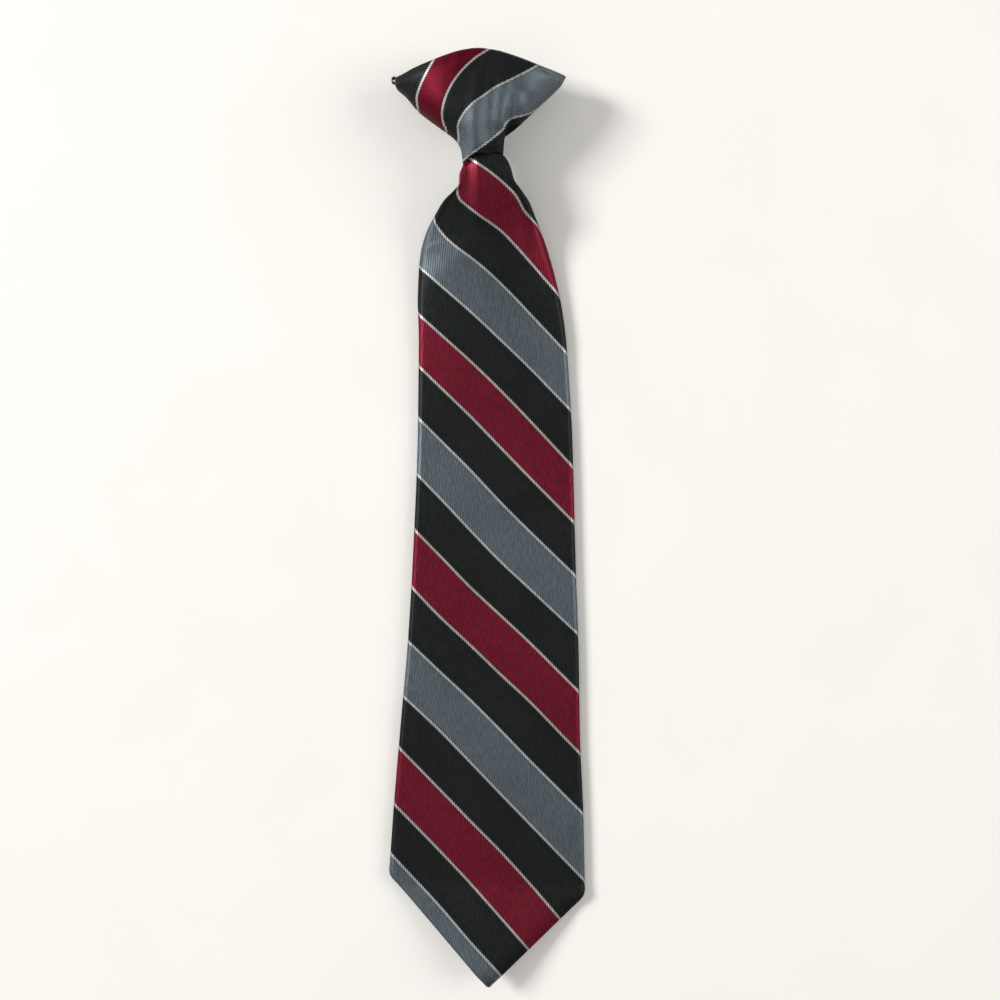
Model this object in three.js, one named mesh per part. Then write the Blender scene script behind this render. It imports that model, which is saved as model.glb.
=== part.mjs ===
import * as THREE from "three";

// A child's clip-on tie, ready tied, lying on its back, in millimetres.
// +Z points up, out of the front of the tie. +Y runs from the point to the knot, and +X is to
// the right for someone who looks down on it. The origin is the middle of the tie's footprint,
// on the surface that it lies on. The metal clip and the flat of the blade touch that surface.

// Overall sizes
const TIE_LENGTH = 280; // from the top of the knot to the point, 11 inches
const BLADE_WIDTH = 59.6; // across the two corners above the point
const KNOT_LENGTH = 32.6; // from the throat to the top of the knot
const KNOT_WIDTH = 51; // from wing tip to wing tip
const KNOT_DEPTH = 15; // from the back of the knot to its crown

// The throat, where the knot grips the blade
const THROAT_WIDTH = 12;
const THROAT_DEPTH = 10.4;
const THROAT_SHIFT = -0.85; // the throat sits a little to the left of the blade's middle
const NECK_TUCK = 15; // how far the blade's neck goes up inside the knot

// The cloth
const CLOTH_WALL = 1.2; // face cloth with its interlining
const BLADE_HOLLOW = 0.8; // space between the front of the blade and its two back flaps
const SEAM_GAP = 0.4; // between the two flaps, down the middle of the back
const HEM_WIDTH = 10; // turned up along both sides of the point, measured across the tie
const POINT_WIDTH = 3; // of the blunt end of the point
const TIP_LIFT = 7; // how far the point curls up off the surface
const CLEARANCE = 0.3; // left between pieces that touch

// The metal clip that goes over a buttoned collar
const CLIP_METAL = 1;
const CLIP_WIDTH = 24;
const COLLAR_GAP = 5;
const PLATE_LENGTH = 14;
const TONGUE_LENGTH = 21.5;
const CLIP_BELOW_TOP = 4; // from the top of the knot down to the clip's bend

// How finely the shapes are cut into flat facets
const NECK_ROWS = 3;
const BLADE_ROWS = 21;
const POCKET_ROWS = 4;
const POINT_ROWS = 8;
const FLAP_STEPS = 3;
const ROLL_STEPS = 4;
const FRONT_STEPS = 16;
const KNOT_COLUMNS = 24;
const BEND_ROWS = 8;

// Heights and places that follow from the sizes
const KNOT_BACK = 2 * CLIP_METAL + COLLAR_GAP + CLEARANCE;
const KNOT_TOP = TIE_LENGTH / 2;
const THROAT_Y = KNOT_TOP - KNOT_LENGTH;
const BLADE_TOP = THROAT_Y - CLEARANCE;
const BLADE_LENGTH = BLADE_TOP + TIE_LENGTH / 2;
const BLADE_THICKNESS = 2 * CLOTH_WALL + BLADE_HOLLOW;
const NECK_HALF = THROAT_WIDTH / 2 - CLOTH_WALL - CLEARANCE;
const NECK_DEPTH = THROAT_DEPTH - 2 * (CLOTH_WALL + CLEARANCE);
const NECK_LIFT = KNOT_BACK + CLOTH_WALL + CLEARANCE;

// The blade from the throat to its corners. Each row says how far down the blade it is, as a
// share of the blade's length. Left and right are shares of the way out from the neck's side to
// the corner's. Lift is the height of the back's middle and arch is how far the edges hang below
// that middle, both as shares of the neck's lift. Thick is a share of the way from the blade's
// thickness to the neck's depth.
const BLADE_STATIONS = [
  { down: 0.0, left: 0.0, right: 0.0, lift: 1.0, arch: 0.0, thick: 1.0 },
  { down: 0.004, left: 0.1, right: 0.12, lift: 0.99, arch: 0.0, thick: 1.05 },
  { down: 0.012, left: 0.136, right: 0.158, lift: 0.97, arch: 0.0, thick: 1.08 },
  { down: 0.021, left: 0.127, right: 0.179, lift: 0.94, arch: 0.02, thick: 1.04 },
  { down: 0.031, left: 0.162, right: 0.238, lift: 0.9, arch: 0.05, thick: 0.98 },
  { down: 0.046, left: 0.293, right: 0.349, lift: 0.82, arch: 0.12, thick: 0.86 },
  { down: 0.063, left: 0.42, right: 0.435, lift: 0.73, arch: 0.2, thick: 0.68 },
  { down: 0.082, left: 0.529, right: 0.515, lift: 0.63, arch: 0.26, thick: 0.5 },
  { down: 0.105, left: 0.599, right: 0.595, lift: 0.51, arch: 0.28, thick: 0.34 },
  { down: 0.13, left: 0.626, right: 0.664, lift: 0.4, arch: 0.25, thick: 0.2 },
  { down: 0.164, left: 0.638, right: 0.74, lift: 0.27, arch: 0.18, thick: 0.1 },
  { down: 0.21, left: 0.625, right: 0.798, lift: 0.13, arch: 0.09, thick: 0.03 },
  { down: 0.26, left: 0.63, right: 0.833, lift: 0.04, arch: 0.03, thick: 0.0 },
  { down: 0.32, left: 0.637, right: 0.866, lift: 0.0, arch: 0.0, thick: 0.0 },
  { down: 0.484, left: 0.702, right: 0.91, lift: 0.0, arch: 0.0, thick: 0.0 },
  { down: 0.583, left: 0.762, right: 0.942, lift: 0.0, arch: 0.0, thick: 0.0 },
  { down: 0.681, left: 0.848, right: 0.955, lift: 0.0, arch: 0.0, thick: 0.0 },
  { down: 0.78, left: 0.933, right: 0.988, lift: 0.0, arch: 0.0, thick: 0.0 },
  { down: 0.872, left: 1.0, right: 1.0, lift: 0.0, arch: 0.0, thick: 0.0 },
];
const LEFT_CORNER_SHARE = 0.872; // the left corner sits a little higher than the right one
const RIGHT_CORNER_SHARE = 0.896;
const POCKET_TOP_SHARE = 0.76; // where the two flaps part over the back of the point
const CURL_START_SHARE = 0.78; // where the blade starts to curl up off the surface

// The pleats that the knot squeezes into the neck. Each runs down the front from the throat.
// From and to are places across, as shares of the throat's width from its middle, width is a
// share of it too, depth is a share of the neck's depth, and ends is a share of the blade.
const BLADE_PLEATS = [
  { from: -0.04, to: -0.03, width: 0.15, depth: 0.24, ends: 0.12 },
  { from: 0.28, to: 0.95, width: 0.17, depth: 0.13, ends: 0.14 },
  { from: -0.3, to: -1.0, width: 0.17, depth: 0.09, ends: 0.11 },
];

// The knot from the throat to its top edge. Left and right are shares of the way out from the
// throat's side to the wing tip. The two heights say how far up each side is, and bow how far
// the row's middle is above a straight line between them, all as shares of the knot's length.
// Crown is a share of the way from the throat's depth to the knot's, back is how far the back
// is drawn forward and edge where the sides lie, as shares of the knot's depth. Dome is the
// power of the front's rounded section, and flat is that of the back's.
const KNOT_ROWS = [
  { up: 0.0, left: 0.0, leftUp: 0.0, right: 0.0, rightUp: 0.0, bow: 0.0,
    crown: 0.0, back: 0.0, edge: 0.35, dome: 2.2, flat: 2.4 },
  { up: 0.12, left: 0.035, leftUp: 0.1, right: 0.008, rightUp: 0.1, bow: 0.004,
    crown: 0.3, back: 0.0, edge: 0.37, dome: 2.2, flat: 2.8 },
  { up: 0.24, left: 0.12, leftUp: 0.19, right: 0.03, rightUp: 0.205, bow: 0.02,
    crown: 0.58, back: 0.0, edge: 0.39, dome: 2.1, flat: 3.4 },
  { up: 0.34, left: 0.25, leftUp: 0.257, right: 0.196, rightUp: 0.287, bow: 0.045,
    crown: 0.78, back: 0.0, edge: 0.4, dome: 2.0, flat: 4.0 },
  { up: 0.5, left: 0.48, leftUp: 0.364, right: 0.394, rightUp: 0.391, bow: 0.09,
    crown: 0.95, back: 0.0, edge: 0.4, dome: 1.9, flat: 5.0 },
  { up: 0.66, left: 0.665, leftUp: 0.458, right: 0.6, rightUp: 0.5, bow: 0.14,
    crown: 1.0, back: 0.0, edge: 0.4, dome: 1.8, flat: 6.0 },
  { up: 0.82, left: 0.85, leftUp: 0.596, right: 0.8, rightUp: 0.605, bow: 0.2,
    crown: 0.86, back: 0.0, edge: 0.4, dome: 1.8, flat: 6.0 },
  { up: 0.93, left: 0.955, leftUp: 0.65, right: 0.94, rightUp: 0.7, bow: 0.25,
    crown: 0.35, back: 0.03, edge: 0.4, dome: 1.9, flat: 5.0 },
  { up: 1.0, left: 1.0, leftUp: 0.682, right: 1.0, rightUp: 0.743, bow: 0.2875,
    crown: -0.75, back: 0.17, edge: 0.38, dome: 2.4, flat: 3.0 },
];
const KNOT_SHIFT_SHARE = -0.034; // the wings' middle, as a share of the knot's width
const BOW_CURVE = [
  { across: -1.0, bow: 0.0 },
  { across: -0.785, bow: 0.45 },
  { across: -0.57, bow: 0.68 },
  { across: -0.38, bow: 0.88 },
  { across: -0.1, bow: 1.0 },
  { across: 0.265, bow: 0.87 },
  { across: 0.465, bow: 0.68 },
  { across: 0.65, bow: 0.46 },
  { across: 0.85, bow: 0.21 },
  { across: 1.0, bow: 0.0 },
];
const HOLLOW_TOP_SHARE = 0.86; // how far up the knot it is hollow, as a share of its rows

// The creases in the front of the knot, from one place to the next. Across is a share of the
// knot's half width from the blade's middle, up and width are shares of the knot's length, and
// depth is a share of its depth.
const KNOT_CREASES = [
  { fromAcross: 0.31, fromUp: 0.6, toAcross: 0.28, toUp: 0.45, width: 0.07, depth: 0.08 },
  { fromAcross: 0.28, fromUp: 0.45, toAcross: 0.235, toUp: 0.335, width: 0.06, depth: 0.14 },
  { fromAcross: 0.235, fromUp: 0.335, toAcross: 0.23, toUp: 0.2, width: 0.06, depth: 0.1 },
];

// The clip's outline: how wide it is along its plate and along its tongue, as shares of its width
const PLATE_OUTLINE = [
  { along: 0.0, wide: 0.62 },
  { along: 0.06, wide: 0.7 },
  { along: 0.24, wide: 0.96 },
  { along: 0.34, wide: 1.0 },
  { along: 0.8, wide: 1.0 },
  { along: 0.88, wide: 0.95 },
  { along: 1.0, wide: 0.75 },
];
const TONGUE_OUTLINE = [
  { along: 0.0, wide: 0.75 },
  { along: 0.5, wide: 0.75 },
  { along: 0.62, wide: 0.64 },
  { along: 0.76, wide: 0.5 },
  { along: 0.9, wide: 0.43 },
  { along: 0.97, wide: 0.36 },
  { along: 1.0, wide: 0.24 },
];

function mix(a, b, share) {
  return a + (b - a) * share;
}

function clamp(value, low, high) {
  return Math.min(high, Math.max(low, value));
}

// Eases from 0 to 1 with no kink at either end
function ease(share) {
  const s = clamp(share, 0, 1);
  return s * s * (3 - 2 * s);
}

// Reads one column of a table between its rows, on a smooth curve that never overshoots them
function read(table, key, column, at) {
  const last = table.length - 1;
  if (at <= table[0][key]) return table[0][column];
  if (at >= table[last][key]) return table[last][column];
  let row = 0;
  while (table[row + 1][key] < at) row += 1;
  const step = (i) => table[i + 1][key] - table[i][key];
  const slope = (i) => (table[i + 1][column] - table[i][column]) / step(i);
  const tangent = (i) => {
    if (i === 0) return slope(0);
    if (i === last) return slope(last - 1);
    const [before, after] = [slope(i - 1), slope(i)];
    return before * after <= 0 ? 0 : (2 * before * after) / (before + after);
  };
  const t = (at - table[row][key]) / step(row);
  const rise = table[row + 1][column] - table[row][column];
  const [start, end] = [tangent(row) * step(row), tangent(row + 1) * step(row)];
  const bend = t * (1 - t) * ((1 - t) * (start - rise) - t * (end - rise));
  return table[row][column] + rise * t + bend;
}

// The points and facets of one closed body
class Body {
  constructor() {
    this.points = [];
    this.facets = [];
  }

  row(points) {
    const first = this.points.length;
    this.points.push(...points);
    return points.map((_, i) => first + i);
  }

  // Joins two rows, point by point. The facets face out where the rows go round
  // anticlockwise, seen from the point of the tie, and the upper row is the one nearer the knot.
  band(upper, lower, closed = true) {
    const count = closed ? upper.length : upper.length - 1;
    for (let i = 0; i < count; i += 1) {
      const next = (i + 1) % upper.length;
      const [a, b, c, d] = [upper[i], upper[next], lower[next], lower[i]];
      if (b !== c) this.facets.push([a, b, c]);
      if (a !== d) this.facets.push([a, c, d]);
    }
  }

  mesh(name, material) {
    const geometry = new THREE.BufferGeometry();
    const places = this.points.flatMap((point) => point.toArray());
    geometry.setAttribute("position", new THREE.Float32BufferAttribute(places, 3));
    geometry.setIndex(this.facets.flat());
    geometry.computeVertexNormals();
    const mesh = new THREE.Mesh(geometry, material);
    mesh.name = name;
    return mesh;
  }
}

// The blade's two sides at a share of its length: down the stations to the corners, then
// straight to the point
function bladeSides(down) {
  const halfPoint = POINT_WIDTH / 2;
  const side = (column, sign, corner) => {
    const out = read(BLADE_STATIONS, "down", column, (down / corner) * LEFT_CORNER_SHARE);
    const above = mix(THROAT_SHIFT + sign * NECK_HALF, (sign * BLADE_WIDTH) / 2, out);
    return mix(above, sign * halfPoint, clamp((down - corner) / (1 - corner), 0, 1));
  };
  return { left: side("left", -1, LEFT_CORNER_SHARE), right: side("right", 1, RIGHT_CORNER_SHARE) };
}

// How deep the pleats press the front of the blade in
function pleatDepth(x, down) {
  let depth = 0;
  for (const pleat of BLADE_PLEATS) {
    const share = clamp(down / pleat.ends, 0, 1);
    const middle = THROAT_SHIFT + mix(pleat.from, pleat.to, share) * THROAT_WIDTH;
    const away = (x - middle) / (pleat.width * THROAT_WIDTH * (1 + share));
    depth += pleat.depth * NECK_DEPTH * Math.exp(-away * away) * (1 - ease(share));
  }
  return depth;
}

// One section across the blade, a flattened tube of cloth that is open at the seam down the
// back. It gives the outer and the inner points, from the seam's right lip round to its left.
function bladeSection(y, down, narrowing = 1) {
  const station = (column) => read(BLADE_STATIONS, "down", column, down);
  const sides = bladeSides(down);
  const thickness = mix(BLADE_THICKNESS, NECK_DEPTH, station("thick")) * narrowing;
  const middle = (sides.left + sides.right) / 2;
  const half = ((sides.right - sides.left) / 2) * narrowing;
  const curl = TIP_LIFT * clamp((down - CURL_START_SHARE) / (1 - CURL_START_SHARE), 0, 1) ** 2;
  const drop = NECK_LIFT * station("arch");
  const under = (x) => curl + NECK_LIFT * station("lift") - drop * ((x - middle) / half) ** 2;
  const parted = clamp((down - POCKET_TOP_SHARE) / (LEFT_CORNER_SHARE - POCKET_TOP_SHARE), 0, 1);
  const lip = Math.max(SEAM_GAP / 2, (half - HEM_WIDTH) * parted);

  const tube = (inset) => {
    const roll = Math.max((thickness - 2 * inset) / 2, BLADE_HOLLOW / 4);
    const reach = half - inset;
    const radius = Math.min(roll, reach);
    const flat = reach - radius;
    const points = [];
    const put = (x, height) => points.push(new THREE.Vector3(middle + x, y, height));
    const bottom = (x) => put(x, under(middle + x) + inset);
    const arc = (side, angle) => {
      const x = side * (flat + radius * Math.sin(angle));
      const dent = angle > Math.PI / 2 ? pleatDepth(middle + x, down) : 0;
      put(x, under(middle + x) + thickness / 2 - roll * Math.cos(angle) - dent);
    };
    for (let i = 0; i < FLAP_STEPS; i += 1) bottom(mix(lip, flat, i / FLAP_STEPS));
    for (let i = 0; i < ROLL_STEPS; i += 1) arc(1, (Math.PI * i) / ROLL_STEPS);
    for (let i = 0; i <= FRONT_STEPS; i += 1) {
      const x = mix(flat, -flat, i / FRONT_STEPS);
      put(x, under(middle + x) + thickness - inset - pleatDepth(middle + x, down));
    }
    for (let i = ROLL_STEPS - 1; i >= 0; i -= 1) arc(-1, (Math.PI * i) / ROLL_STEPS);
    for (let i = 1; i <= FLAP_STEPS; i += 1) bottom(-mix(flat, lip, i / FLAP_STEPS));
    return points;
  };
  return { outer: tube(0), inner: tube(CLOTH_WALL) };
}

// The rows of the blade, from inside the knot to the point
function bladePlaces() {
  const places = [];
  for (let i = NECK_ROWS; i >= 0; i -= 1) {
    places.push({ y: BLADE_TOP + (NECK_TUCK * i) / NECK_ROWS, down: 0 });
  }
  const at = (down) => places.push({ y: BLADE_TOP - down * BLADE_LENGTH, down });
  for (let i = 1; i <= BLADE_ROWS; i += 1) at(POCKET_TOP_SHARE * (i / BLADE_ROWS) ** 2);
  for (let i = 1; i <= POCKET_ROWS; i += 1) at(mix(POCKET_TOP_SHARE, LEFT_CORNER_SHARE, i / POCKET_ROWS));
  at(RIGHT_CORNER_SHARE);
  for (let i = 1; i <= POINT_ROWS; i += 1) at(mix(RIGHT_CORNER_SHARE, 1, i / POINT_ROWS));
  return places;
}

// The two halves of a row that mirror each other, both from its first and last points to the
// one in the middle
function halves(row) {
  const count = (row.length + 1) / 2;
  return [row.slice(0, count), [...row].reverse().slice(0, count)];
}

function makeBlade(material) {
  const body = new Body();
  const solidFrom = 1 - (1 - RIGHT_CORNER_SHARE) * (2 / POINT_ROWS); // the hems meet just above this
  let above = null;
  for (const { y, down } of bladePlaces()) {
    const tip = down === 1 ? 0.7 : 1; // the very end is pressed thinner
    const { outer, inner } = bladeSection(y, down, tip);
    const hollow = down < solidFrom;
    const row = { outer: body.row(outer), inner: hollow ? body.row(inner) : [] };
    if (!above) body.band(row.inner, row.outer, false);
    else if (hollow) {
      const ring = ({ outer: out, inner: back }) => [...out, ...[...back].reverse()];
      body.band(ring(above), ring(row));
    } else {
      if (above.inner.length) {
        const [right, left] = halves(above.inner);
        body.band([above.outer.at(-1), ...left], [above.outer[0], ...right], false);
      }
      body.band(above.outer, row.outer);
    }
    above = row;
  }
  body.band(...halves(above.outer), false);
  return body.mesh("blade", material);
}

// How far the creases press the front of the knot in
function creaseDepth(x, y) {
  let depth = 0;
  for (const crease of KNOT_CREASES) {
    const place = (across, up) =>
      new THREE.Vector2((across * KNOT_WIDTH) / 2, THROAT_Y + up * KNOT_LENGTH);
    const start = place(crease.fromAcross, crease.fromUp);
    const along = place(crease.toAcross, crease.toUp).sub(start);
    const point = new THREE.Vector2(x, y).sub(start);
    const share = clamp(point.dot(along) / along.lengthSq(), 0, 1);
    const away = point.distanceTo(along.multiplyScalar(share)) / (crease.width * KNOT_LENGTH);
    depth = Math.max(depth, crease.depth * KNOT_DEPTH * Math.exp(-away * away));
  }
  return depth;
}

// One row round the knot: along the back from left to right, then along the front to the left.
// Inset is the wall that the inner rows leave.
function knotRow(up, inset) {
  const at = (column) => read(KNOT_ROWS, "up", column, up);
  const side = (column, sign) => {
    const throat = THROAT_SHIFT + (sign * THROAT_WIDTH) / 2;
    const wing = KNOT_SHIFT_SHARE * KNOT_WIDTH + (sign * KNOT_WIDTH) / 2;
    // the wings' sides slant, so a wall has to be wider there to stay as thick
    return mix(throat, wing, at(column)) - sign * inset * (1 + 0.5 * at("left"));
  };
  const [left, right] = [side("left", -1), side("right", 1)];
  const back = KNOT_BACK + at("back") * KNOT_DEPTH + inset;
  const crown = KNOT_BACK + mix(THROAT_DEPTH, KNOT_DEPTH, at("crown")) - inset;
  const edge = KNOT_BACK + at("edge") * KNOT_DEPTH;
  const columns = [];
  for (let i = 0; i <= KNOT_COLUMNS; i += 1) {
    const even = (2 * i) / KNOT_COLUMNS - 1;
    const across = mix(even, -Math.cos((Math.PI * i) / KNOT_COLUMNS), 0.5);
    const x = mix(left, right, (across + 1) / 2);
    const straight = mix(at("leftUp"), at("rightUp"), (across + 1) / 2);
    const bowed = straight + at("bow") * read(BOW_CURVE, "across", "bow", across);
    const y = THROAT_Y + bowed * KNOT_LENGTH;
    const round = (power) => Math.max(0, 1 - Math.abs(across) ** power) ** (1 / power);
    const swell = round(at("dome"));
    const front = mix(edge, crown, swell) - creaseDepth(x, y) * swell;
    columns.push({ x, y, front, back: mix(edge, back, round(at("flat"))) });
  }
  const behind = columns.map(({ x, y, back: z }) => new THREE.Vector3(x, y, z));
  const before = columns.slice(1, -1).map(({ x, y, front: z }) => new THREE.Vector3(x, y, z));
  return [...behind, ...before.reverse()];
}

function makeKnot(material) {
  const body = new Body();
  const places = [0, 0.06, 0.13, 0.21, 0.3, 0.4, 0.5, 0.6, 0.7, 0.79, 0.87, 0.93, 0.97, 1];
  const outside = places.map((up) => body.row(knotRow(up, 0)));
  const hollow = places.filter((up) => up < HOLLOW_TOP_SHARE).concat(HOLLOW_TOP_SHARE);
  const inside = hollow.map((up) => body.row(knotRow(up, CLOTH_WALL)));
  for (let i = 1; i < outside.length; i += 1) body.band(outside[i], outside[i - 1]);
  for (let i = 1; i < inside.length; i += 1) body.band(inside[i - 1], inside[i]);
  body.band(outside[0], inside[0]);
  // the back and the front of a row, both from left to right
  const behind = (row) => row.slice(0, KNOT_COLUMNS + 1);
  const before = (row) => [row[0], ...row.slice(KNOT_COLUMNS).reverse()];
  body.band(before(outside.at(-1)), behind(outside.at(-1)), false);
  body.band(behind(inside.at(-1)), before(inside.at(-1)), false);
  return body.mesh("knot", material);
}

// One strip of metal, bent round: a plate against the back of the knot, a bend at the top,
// and a tongue that goes down behind the collar
function makeClip(material) {
  const body = new Body();
  const bendY = KNOT_TOP - CLIP_BELOW_TOP - CLIP_METAL - COLLAR_GAP / 2;
  const radius = (COLLAR_GAP + CLIP_METAL) / 2;
  const middle = CLIP_METAL + COLLAR_GAP / 2;
  const rows = [];
  const row = (y, angle, wide) => {
    const half = (wide * CLIP_WIDTH) / 2;
    const corner = (side, out) => {
      const reach = radius + (out * CLIP_METAL) / 2;
      const place = [y + reach * Math.sin(angle), middle + reach * Math.cos(angle)];
      return new THREE.Vector3(THROAT_SHIFT + side * half, ...place);
    };
    rows.push(body.row([corner(-1, -1), corner(1, -1), corner(1, 1), corner(-1, 1)]));
  };
  for (const { along, wide } of PLATE_OUTLINE) row(bendY - (1 - along) * PLATE_LENGTH, 0, wide);
  for (let i = 1; i < BEND_ROWS; i += 1) {
    row(bendY, (Math.PI * i) / BEND_ROWS, TONGUE_OUTLINE[0].wide);
  }
  for (const { along, wide } of TONGUE_OUTLINE) row(bendY - along * TONGUE_LENGTH, Math.PI, wide);
  rows.slice(1).forEach((next, i) => body.band(next, rows[i]));
  body.facets.push([rows[0][0], rows[0][1], rows[0][2]], [rows[0][0], rows[0][2], rows[0][3]]);
  const end = rows.at(-1);
  body.facets.push([end[0], end[2], end[1]], [end[0], end[3], end[2]]);
  return body.mesh("collar_clip", material);
}

const stripedCloth = new THREE.MeshStandardMaterial({
  name: "striped_cloth",
  color: 0x3a2c33,
  roughness: 0.7,
  metalness: 0,
  side: THREE.DoubleSide,
});
const clipSteel = new THREE.MeshStandardMaterial({
  name: "clip_steel",
  color: 0xb8babd,
  roughness: 0.3,
  metalness: 1,
});

const tie = new THREE.Group();
tie.add(makeKnot(stripedCloth), makeBlade(stripedCloth), makeClip(clipSteel));

export default tie;
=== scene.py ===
# %% [markdown]
# # A child's clip-on tie
#
# The tie comes ready tied. It is one long folded blade of striped, ribbed cloth, a broad knot
# that a band of the same cloth is wrapped into, and a bent metal clip behind the knot that
# goes over a buttoned collar. Here it lies on its back on a white table, seen from straight
# above.
#
# The frame below gives the plain solids, in metres. The cells after it build the cloth that
# is seen, in millimetres and from the same sizes, and end by putting it in their place.

# %% Open the frame
import math

import bmesh
import bpy
import numpy as np
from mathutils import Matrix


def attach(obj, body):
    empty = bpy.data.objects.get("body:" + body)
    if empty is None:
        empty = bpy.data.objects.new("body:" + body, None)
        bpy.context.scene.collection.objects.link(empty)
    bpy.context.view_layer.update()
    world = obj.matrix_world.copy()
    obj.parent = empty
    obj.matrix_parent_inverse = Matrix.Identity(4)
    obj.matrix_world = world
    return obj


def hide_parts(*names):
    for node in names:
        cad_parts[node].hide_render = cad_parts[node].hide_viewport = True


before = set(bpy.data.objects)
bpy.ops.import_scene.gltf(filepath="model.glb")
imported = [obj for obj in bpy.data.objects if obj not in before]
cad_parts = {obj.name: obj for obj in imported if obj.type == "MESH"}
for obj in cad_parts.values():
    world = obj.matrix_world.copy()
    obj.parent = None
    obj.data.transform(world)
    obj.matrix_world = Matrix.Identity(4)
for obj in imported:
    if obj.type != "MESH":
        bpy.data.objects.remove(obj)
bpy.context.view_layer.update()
MM = 0.001
print("nodes:", sorted(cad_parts))

# %% [markdown]
# ## The view
#
# A tie is photographed flat, so the camera hangs straight above it, a little to the right of
# its middle and nearer the knot. A 50 mm lens from 43 cm away makes the raised knot look
# slightly larger than it is, as it does to the eye.

# %% Hang the camera over the tie
camera_data = bpy.data.cameras.new("overhead")
camera_data.lens = 50
camera_data.sensor_width = 36
camera_data.clip_start = 0.01
camera = bpy.data.objects.new("overhead", camera_data)
CAMERA_X, CAMERA_Y, CAMERA_HEIGHT = 4.2, 6.0, 426.4
camera.location = (CAMERA_X * MM, CAMERA_Y * MM, CAMERA_HEIGHT * MM)
bpy.context.collection.objects.link(camera)
bpy.context.scene.camera = camera
print("camera at", [round(value, 4) for value in camera.location])

# %% [markdown]
# ## The light
#
# The room is bright all over, with one broad window at the upper left and a weaker light at
# the right. A big area lamp gives the wide soft shadow beside the knot, where a small lamp
# would cut a hard edge. The room itself is brighter towards its ceiling and its left wall, so
# folds that turn to the right get darker. The plain colour transform keeps the cloth's dark
# colours as they are mixed.

# %% Light the table
def hang_lamp(name, place, size, power, colour):
    """A square soft lamp that looks at the middle of the tie."""
    lamp = bpy.data.lights.new(name, "AREA")
    lamp.size = size
    lamp.energy = power
    lamp.color = colour
    stand = bpy.data.objects.new(name, lamp)
    stand.location = place
    stand.rotation_euler = stand.location.to_track_quat("Z", "Y").to_euler()
    bpy.context.collection.objects.link(stand)
    return stand


DAYLIGHT = (1.0, 0.985, 0.955)
BRIGHT_SIDE = (-0.16, 0.03, 0.42)
hang_lamp("window", (-1.9, 0.65, 1.34), 0.65, 52.5, DAYLIGHT)
hang_lamp("far_window", (1.6, 0.2, 0.9), 1.1, 16, (1.0, 0.98, 0.94))

room = bpy.data.worlds.new("room")
room.use_nodes = True
nodes, wires = room.node_tree.nodes, room.node_tree.links
direction = nodes.new("ShaderNodeTexCoord").outputs["Generated"]
towards = nodes.new("ShaderNodeVectorMath")
towards.operation = "DOT_PRODUCT"
towards.inputs[1].default_value = BRIGHT_SIDE
wires.new(direction, towards.inputs[0])
level = nodes.new("ShaderNodeMapRange")
for label, value in {"From Min": -0.1, "From Max": 0.9, "To Min": 0.03, "To Max": 1.03}.items():
    level.inputs[label].default_value = value
wires.new(towards.outputs["Value"], level.inputs["Value"])
wires.new(level.outputs[0], nodes["Background"].inputs["Strength"])
nodes["Background"].inputs["Color"].default_value = (*DAYLIGHT, 1)
bpy.context.scene.world = room
bpy.context.scene.view_settings.view_transform = "Standard"

# %% [markdown]
# ## Curves from short tables
#
# The outline of a tie changes smoothly, so a few measured rows are enough for each shape. A
# cubic that passes through every row and never overshoots one keeps the outline calm.

# %% Read tables on a smooth curve
def table(names, *rows):
    """Named columns from rows of numbers."""
    return dict(zip(names.split(), np.array(rows, float).T))


def read(rows, key, column, at):
    """One column of a table at any place between its rows, on a curve without overshoot."""
    x, y = rows[key], rows[column]
    at = np.clip(at, x[0], x[-1])
    step = np.diff(x)
    slope = np.diff(y) / step
    before, after = slope[:-1], slope[1:]
    both = before * after
    inner = np.where(both > 0, 2 * both / np.where(both > 0, before + after, 1), 0)
    tangent = np.concatenate([slope[:1], inner, slope[-1:]])
    row = np.clip(np.searchsorted(x, at) - 1, 0, len(step) - 1)
    t = (at - x[row]) / step[row]
    rise = y[row + 1] - y[row]
    start, end = tangent[row] * step[row], tangent[row + 1] * step[row]
    return y[row] + rise * t + t * (1 - t) * ((1 - t) * (start - rise) - t * (end - rise))


def mix(a, b, share):
    return a + (b - a) * share


def ease(share):
    """From 0 to 1 with no kink at either end."""
    s = np.clip(share, 0, 1)
    return s * s * (3 - 2 * s)


def near_path(x, y, path):
    """How far each place is from a path through points, on which side and how far along.

    The distance is positive to the right of someone who walks along the path."""
    path = np.array(path, float)
    best = np.full(np.shape(x), np.inf)
    side = np.zeros(np.shape(x))
    along = np.zeros(np.shape(x))
    legs = np.linalg.norm(np.diff(path, axis=0), axis=1)
    done = 0.0
    for (ax, ay), (bx, by), leg in zip(path[:-1], path[1:], legs):
        ux, uy = (bx - ax) / leg, (by - ay) / leg
        share = (x - ax) * ux + (y - ay) * uy
        on = np.clip(share, 0, leg)
        away = np.hypot(x - ax - on * ux, y - ay - on * uy)
        cross = (x - ax) * uy - (y - ay) * ux
        closer = away < best - 1e-9
        side = np.where(closer, np.where(cross < 0, -1, 1), side)
        along = np.where(closer, (done + on) / legs.sum(), along)
        best = np.minimum(best, away)
        done += leg
    return best * side, along


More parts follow.
